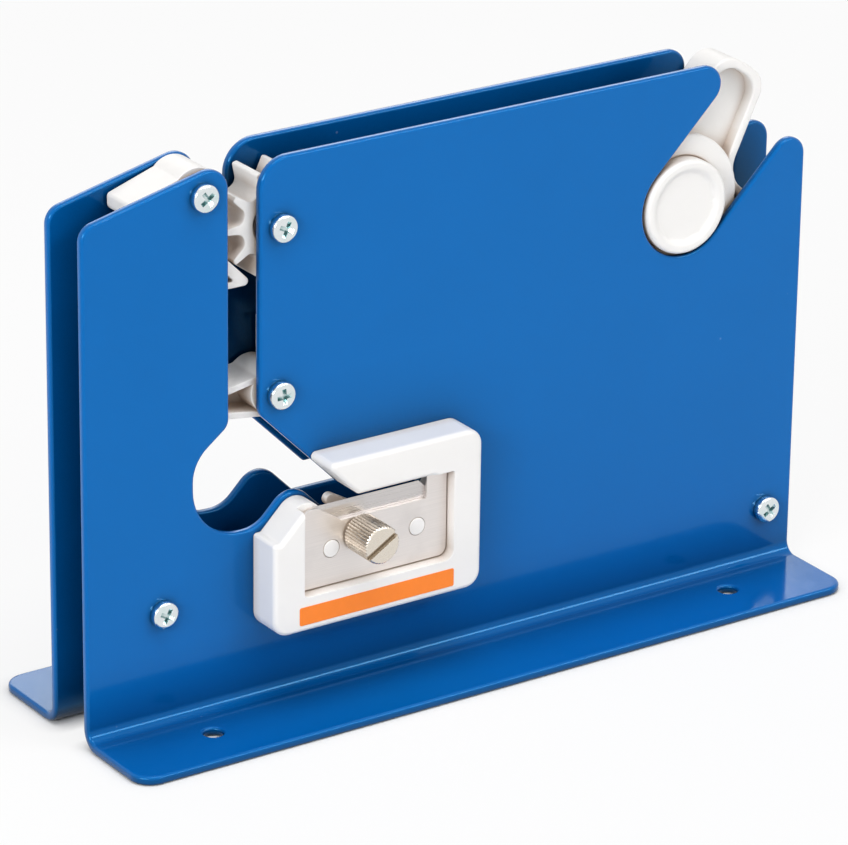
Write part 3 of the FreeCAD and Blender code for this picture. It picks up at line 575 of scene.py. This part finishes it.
def piece_from(skin, name, crease=CREASE_ANGLE):
    """An object made from a bmesh, smooth but for its creases."""
    for face in skin.faces:
        face.smooth = True
    for edge in skin.edges:
        if edge.calc_face_angle(0) > crease:
            edge.smooth = False
    mesh = bpy.data.meshes.new(name)
    skin.to_mesh(mesh)
    skin.free()
    piece = bpy.data.objects.new(name, mesh)
    bpy.context.scene.collection.objects.link(piece)
    shading = piece.modifiers.new("even_shading", "WEIGHTED_NORMAL")
    shading.keep_sharp = True
    return piece


def dress(piece, body, slot, node):
    """Gives a new piece its finish and its body, and lets it stand for a CAD node."""
    piece.data.materials.append(finish(slot))
    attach(piece, body)
    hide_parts(node)


def eased_copy(node, body, slot, radius, segments=SMALL_EDGE_STEPS):
    """A CAD node's own shape with its edges rounded, in place of the node."""
    skin = skin_of(node)
    ease(skin, radius, segments)
    dress(piece_from(skin, node + "_finished"), body, slot, node)


def refinish(node, slot):
    """Keeps a CAD node and gives it a detailed finish."""
    kept = frame["nodes"][node]
    kept.data.materials.clear()
    kept.data.materials.append(finish(slot))


def turned(profile, middle, steps):
    """A skin turned about a line along Y through the middle, from points (radius, y)."""
    skin = bmesh.new()
    verts = [skin.verts.new((middle.x + radius, y, middle.z)) for radius, y in profile]
    edges = [skin.edges.new(pair) for pair in zip(verts, verts[1:])]
    bmesh.ops.spin(skin, geom=verts + edges, cent=middle, axis=(0, 1, 0), dvec=(0, 0, 0),
                   angle=2 * math.pi, steps=steps, use_merge=True)
    bmesh.ops.remove_doubles(skin, verts=skin.verts, dist=WELD)
    bmesh.ops.recalc_face_normals(skin, faces=skin.faces)
    return skin


def object_from(skin, name):
    """A plain object that takes over a bmesh, for a boolean."""
    made = bpy.data.objects.new(name, bpy.data.meshes.new(name))
    bpy.context.scene.collection.objects.link(made)
    skin.to_mesh(made.data)
    skin.free()
    return made


def cut_away(skin, cutters):
    """The skin less each cutter, by exact booleans."""
    blank = object_from(skin, "blank")
    tools = [object_from(cutter, "cutter") for cutter in cutters]
    for tool in tools:
        cut = blank.modifiers.new("cut", "BOOLEAN")
        cut.operation = "DIFFERENCE"
        cut.solver = "EXACT"
        cut.object = tool
    bpy.context.view_layer.update()
    left = bmesh.new()
    left.from_mesh(blank.evaluated_get(bpy.context.evaluated_depsgraph_get()).to_mesh())
    for spare in [blank, *tools]:
        spare_mesh = spare.data
        bpy.data.objects.remove(spare)
        bpy.data.meshes.remove(spare_mesh)
    bmesh.ops.remove_doubles(left, verts=left.verts, dist=WELD)
    return left


def tapered_bar(size, foot_share, place):
    """A bar of a size (x, y, z) whose far end along its own Y is drawn in, put in place by a matrix."""
    bar = bmesh.new()
    bmesh.ops.create_cube(bar, size=1.0)
    for vert in bar.verts:
        share = foot_share if vert.co.y > 0 else 1.0
        vert.co = Vector((vert.co.x * size[0] * share, vert.co.y * size[1], vert.co.z * size[2] * share))
    bmesh.ops.transform(bar, matrix=place, verts=bar.verts)
    return bar


def pan_profile(radius, height, length, foot_y, out):
    """Points (radius, y) of a pan head screw whose head stands out from a face at foot_y."""
    side = HEAD_SIDE * height
    shank = SHANK_RADIUS * radius
    tip_y = foot_y - out * length
    points = []
    for step in range(CROWN_STEPS + 1):
        share = math.sin(step / CROWN_STEPS * math.pi / 2)
        drop = 1 - (1 - share ** CROWN_POWER) ** (1 / CROWN_POWER)
        points.append((radius * share, foot_y + out * (height - (height - side) * drop)))
    points += [(radius, foot_y + out * side * HEAD_RIM), (radius * HEAD_FOOT, foot_y)]
    points += [(shank, foot_y), (shank, foot_y - out * length * SHANK_STRAIGHT)]
    points += [(shank * SHANK_TIP, tip_y), (0.0, tip_y)]
    return points


def screw_places():
    """Middles of the five pairs of screws, on the pivots and through the lower spacers."""
    screws_low, screws_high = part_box("front_screws")
    spacers_low, spacers_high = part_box("lower_spacers")
    right_z = screws_low.z + HEAD_RADIUS
    left_z = spacers_high.z - (right_z - spacers_low.z)
    left = Vector((screws_low.x + HEAD_RADIUS, 0, left_z))
    right = Vector((screws_high.x - HEAD_RADIUS, 0, right_z))
    return [pivot("star_wheel_spin"), pivot("pawl_lever_swing"), pivot("knife_lever_swing"), left, right]


class BAG_SEALER_OT_side_plates(Operator):
    """Paints the two folded side plates and softens their edges"""
    bl_idname = "bag_sealer.side_plates"
    bl_label = "Side plates"

    def execute(self, context):
        for node in ("front_side_plate", "rear_side_plate"):
            eased_copy(node, "frame", "blue_paint", settings().edges.paint, PAINTED_EDGE_STEPS)
        return {"FINISHED"}


class BAG_SEALER_OT_pan_screws(Operator):
    """Turns the ten pan head screws and cuts a cross recess in each"""
    bl_idname = "bag_sealer.pan_screws"
    bl_label = "Pan head screws"

    def execute(self, context):
        places = screw_places()
        for number, place in enumerate(places):
            self.make_screw("front_screws", "front_screw_%d" % (number + 1), place, number, -1)
            self.make_screw("rear_screws", "rear_screw_%d" % (number + 1), place, number + len(places), 1)
        return {"FINISHED"}

    def make_screw(self, node, name, place, number, out):
        """One screw, its head out to the front (-1) or to the rear (1)."""
        sizes = settings().screws
        low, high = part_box(node)
        foot = PLATE_FACE * out
        top = low.y if out < 0 else high.y
        tip = high.y if out < 0 else low.y
        profile = pan_profile(HEAD_RADIUS, abs(top - foot), abs(foot - tip), foot, out)
        skin = turned(profile, place, sizes.steps)
        size = (2 * sizes.recess_reach, RECESS_OVERCUT * sizes.recess_depth, sizes.recess_width)
        spot = Matrix.Translation((place.x, top - out * sizes.recess_depth / 2, place.z))
        flip = Matrix.Rotation(math.pi if out > 0 else 0, 4, "X")
        wings = []
        for quarter in (0, 1):
            turn = sizes.turn + sizes.turn_step * number + quarter * math.pi / 2
            wings.append(tapered_bar(size, RECESS_FOOT, spot @ Matrix.Rotation(turn, 4, "Y") @ flip))
        skin = cut_away(skin, wings)
        dress(piece_from(skin, name, SCREW_CREASE_ANGLE), "frame", "zinc_plate", node)


class BAG_SEALER_OT_bushes(Operator):
    """Finishes the turned bushes and the lower spacers"""
    bl_idname = "bag_sealer.bushes"
    bl_label = "Bushes and spacers"

    def execute(self, context):
        for node in ("lower_spacers", "star_wheel_bush", "pawl_pivot_bush", "knife_pivot_bush"):
            eased_copy(node, "frame", "bush_steel", settings().edges.metal)
        return {"FINISHED"}


class BAG_SEALER_OT_star_wheel(Operator):
    """Moulds the star wheel"""
    bl_idname = "bag_sealer.star_wheel"
    bl_label = "Star wheel"

    def execute(self, context):
        eased_copy("star_wheel", "star_wheel", "white_plastic", settings().edges.moulding)
        return {"FINISHED"}


class BAG_SEALER_OT_pawl_lever(Operator):
    """Moulds the pawl lever"""
    bl_idname = "bag_sealer.pawl_lever"
    bl_label = "Pawl lever"

    def execute(self, context):
        radius = settings().edges.moulding
        eased_copy("pawl_lever", "pawl_lever", "white_plastic", radius, MOULDED_EDGE_STEPS)
        return {"FINISHED"}


class BAG_SEALER_OT_knife_lever(Operator):
    """Moulds the knife lever and finishes its serrated knife and rivets"""
    bl_idname = "bag_sealer.knife_lever"
    bl_label = "Knife lever"

    def execute(self, context):
        radius = settings().edges.knife_lever
        eased_copy("knife_lever", "knife_lever", "white_plastic", radius, MOULDED_EDGE_STEPS)
        refinish("tape_knife", "blade_steel")
        refinish("knife_rivets", "zinc_plate")
        return {"FINISHED"}


class BAG_SEALER_OT_springs(Operator):
    """Draws the wire of the two torsion springs"""
    bl_idname = "bag_sealer.springs"
    bl_label = "Torsion springs"

    def execute(self, context):
        for node in ("pawl_spring", "knife_spring"):
            dress(piece_from(skin_of(node), node + "_wire"), "frame", "spring_wire", node)
        return {"FINISHED"}


class BAG_SEALER_OT_tape_hub(Operator):
    """Moulds the lobed tape hub and the two halves of its axle"""
    bl_idname = "bag_sealer.tape_hub"
    bl_label = "Tape hub"

    def execute(self, context):
        edges = settings().edges
        eased_copy("tape_hub", "tape_hub", "white_plastic", edges.hub, MOULDED_EDGE_STEPS)
        for half in ("hub_axle_front", "hub_axle_rear"):
            eased_copy(half, "hub_axle", "white_plastic", edges.axle, MOULDED_EDGE_STEPS)
        return {"FINISHED"}


class BAG_SEALER_OT_trimmer_guard(Operator):
    """Moulds the guard round the trimmer blade and finishes its screws"""
    bl_idname = "bag_sealer.trimmer_guard"
    bl_label = "Trimmer guard"

    def execute(self, context):
        edges = settings().edges
        eased_copy("trimmer_guard", "frame", "white_plastic", edges.guard, MOULDED_EDGE_STEPS)
        eased_copy("guard_screws", "frame", "zinc_plate", edges.metal)
        return {"FINISHED"}


class BAG_SEALER_OT_orange_strip(Operator):
    """Lays the plain film strip under the guard's window"""
    bl_idname = "bag_sealer.orange_strip"
    bl_label = "Orange strip"

    def execute(self, context):
        edges = settings().edges
        skin = skin_of("orange_strip")
        through = [edge for edge in skin.edges if abs(edge.verts[0].co.y - edge.verts[1].co.y) > WELD]
        round_edges(skin, through, edges.strip_corner, STRIP_CORNER_STEPS)
        ease(skin, edges.strip, SMALL_EDGE_STEPS)
        dress(piece_from(skin, "orange_strip_film"), "frame", "strip_orange", "orange_strip")
        return {"FINISHED"}


class BAG_SEALER_OT_blade_holder(Operator):
    """Finishes the brushed blade holder and the trimmer blade behind it"""
    bl_idname = "bag_sealer.blade_holder"
    bl_label = "Blade holder"

    def execute(self, context):
        eased_copy("blade_holder_plate", "blade_holder", "holder_steel", settings().edges.metal)
        refinish("trimmer_blade", "blade_steel")
        return {"FINISHED"}


class BAG_SEALER_OT_thumb_screw(Operator):
    """Plates the knurled thumb screw and finishes the insert that it turns in"""
    bl_idname = "bag_sealer.thumb_screw"
    bl_label = "Thumb screw"

    def execute(self, context):
        eased_copy("thumb_screw", "thumb_screw", "nickel_plate", settings().edges.knurl)
        refinish("thumb_screw_insert", "insert_brass")
        return {"FINISHED"}


class BAG_SEALER_OT_stage(Operator):
    """Sets the pale floor, the soft lamps and the camera"""
    bl_idname = "bag_sealer.stage"
    bl_label = "Floor, lamps and camera"

    def execute(self, context):
        scene = context.scene
        look = settings().stage
        scene.view_settings.view_transform = "Standard"
        self.make_floor(look.floor_tone)
        scene.world = self.make_room(look.room_level)
        for name, (place, sides, power) in LAMPS.items():
            self.make_lamp(name, Vector(place), sides, getattr(look, power))
        scene.camera = self.make_camera(look.focal_length_mm)
        return {"FINISHED"}

    def make_floor(self, tone):
        skin = bmesh.new()
        bmesh.ops.create_grid(skin, x_segments=1, y_segments=1, size=FLOOR_HALF)
        bmesh.ops.translate(skin, verts=skin.verts, vec=(0, 0, CAD_BOX[0].z - FLOOR_GAP))
        floor = object_from(skin, "studio_floor")
        floor.data.materials.append(self.make_card(tone))

    def make_card(self, tone):
        """Pale card that looks lighter than it lights the object, with painted contact shade close to what
        stands on it.
        """
        material = bpy.data.materials.new("studio_card")
        material.use_nodes = True
        tree = material.node_tree
        tree.nodes.clear()
        # Painted contact shade: the glow fades where the object closes in on the floor.
        contact = add_node(tree, "ShaderNodeAmbientOcclusion", {"Distance": CONTACT_REACH},
                           samples=SHADE_SAMPLES)
        glow_share = add_node(tree, "ShaderNodeMapRange", {
            "Value": contact.outputs["AO"], "From Min": CONTACT_DARKEST, "To Max": FLOOR_GLOW})
        seen_share = add_node(tree, "ShaderNodeMath", {
            0: seen_by_eye(tree), 1: glow_share.outputs["Result"]}, operation="MULTIPLY")
        card = add_node(tree, "ShaderNodeBsdfDiffuse", {"Color": (tone, tone, tone, 1.0)})
        glow = add_node(tree, "ShaderNodeEmission", {"Color": WHITE})
        seen = add_node(tree, "ShaderNodeMixShader", {
            0: seen_share.outputs[0], 1: card.outputs["BSDF"], 2: glow.outputs["Emission"]})
        add_node(tree, "ShaderNodeOutputMaterial", {"Surface": seen.outputs["Shader"]})
        return material

    def make_room(self, level):
        """Even light from all round, white where it is seen or mirrored."""
        world = bpy.data.worlds.new("studio_room")
        world.use_nodes = True
        tree = world.node_tree
        light = tree.nodes["Background"]
        light.inputs["Color"].default_value = WHITE
        strength = add_node(tree, "ShaderNodeMapRange", {"Value": seen_by_eye(tree), "To Min": level})
        tree.links.new(strength.outputs["Result"], light.inputs["Strength"])
        return world

    def make_lamp(self, name, place, sides, power):
        """A soft lamp that faces the object's middle."""
        data = bpy.data.lights.new(name, "AREA")
        data.shape = "RECTANGLE"
        data.size, data.size_y = sides
        data.energy = power
        lamp = bpy.data.objects.new(name, data)
        lamp.location = place
        middle = (CAD_BOX[0] + CAD_BOX[1]) / 2
        lamp.rotation_euler = (middle - place).to_track_quat("-Z", "Y").to_euler()
        bpy.context.scene.collection.objects.link(lamp)

    def make_camera(self, focal_length_mm):
        """A camera at the photograph's place, turned by its heading, dip and tilt."""
        data = bpy.data.cameras.new("photo_camera")
        data.lens = focal_length_mm
        data.sensor_width = SENSOR_WIDTH_MM
        data.clip_end = CAMERA_FAR
        camera = bpy.data.objects.new("photo_camera", data)
        bpy.context.scene.collection.objects.link(camera)
        heading = Matrix.Rotation(-CAMERA_HEADING, 4, "Z")
        dip = Matrix.Rotation(math.pi / 2 - CAMERA_DIP, 4, "X")
        tilt = Matrix.Rotation(CAMERA_TILT, 4, "Z")
        camera.matrix_world = Matrix.Translation(CAMERA_PLACE) @ heading @ dip @ tilt
        return camera


OPERATORS = (
    BAG_SEALER_OT_side_plates,
    BAG_SEALER_OT_pan_screws,
    BAG_SEALER_OT_bushes,
    BAG_SEALER_OT_star_wheel,
    BAG_SEALER_OT_pawl_lever,
    BAG_SEALER_OT_knife_lever,
    BAG_SEALER_OT_springs,
    BAG_SEALER_OT_tape_hub,
    BAG_SEALER_OT_trimmer_guard,
    BAG_SEALER_OT_orange_strip,
    BAG_SEALER_OT_blade_holder,
    BAG_SEALER_OT_thumb_screw,
    BAG_SEALER_OT_stage,
)


class BAG_SEALER_PT_panel(Panel):
    """Lists the pieces, the stage and their settings"""
    bl_idname = "BAG_SEALER_PT_panel"
    bl_label = "Bag neck sealer"
    bl_space_type = "VIEW_3D"
    bl_region_type = "UI"
    bl_category = "Bag Sealer"

    def draw(self, context):
        column = self.layout.column(align=True)
        for operator in OPERATORS:
            column.operator(operator.bl_idname)
        for group in (settings().colours, settings().edges, settings().screws, settings().stage):
            box = self.layout.box()
            for name in group.bl_rna.properties.keys():
                if name not in ("rna_type", "name"):
                    box.prop(group, name)


CLASSES = (BagSealerColours, BagSealerEdges, BagSealerScrews, BagSealerStage, BagSealerSettings,
           *OPERATORS, BAG_SEALER_PT_panel)


def register():
    for made in CLASSES:
        bpy.utils.register_class(made)
    bpy.types.Scene.bag_sealer = PointerProperty(type=BagSealerSettings)


def unregister():
    del bpy.types.Scene.bag_sealer
    for made in reversed(CLASSES):
        bpy.utils.unregister_class(made)


def main():
    register()
    for operator in OPERATORS:
        group, name = operator.bl_idname.split(".")
        getattr(getattr(bpy.ops, group), name)()


if __name__ == "__main__":
    main()
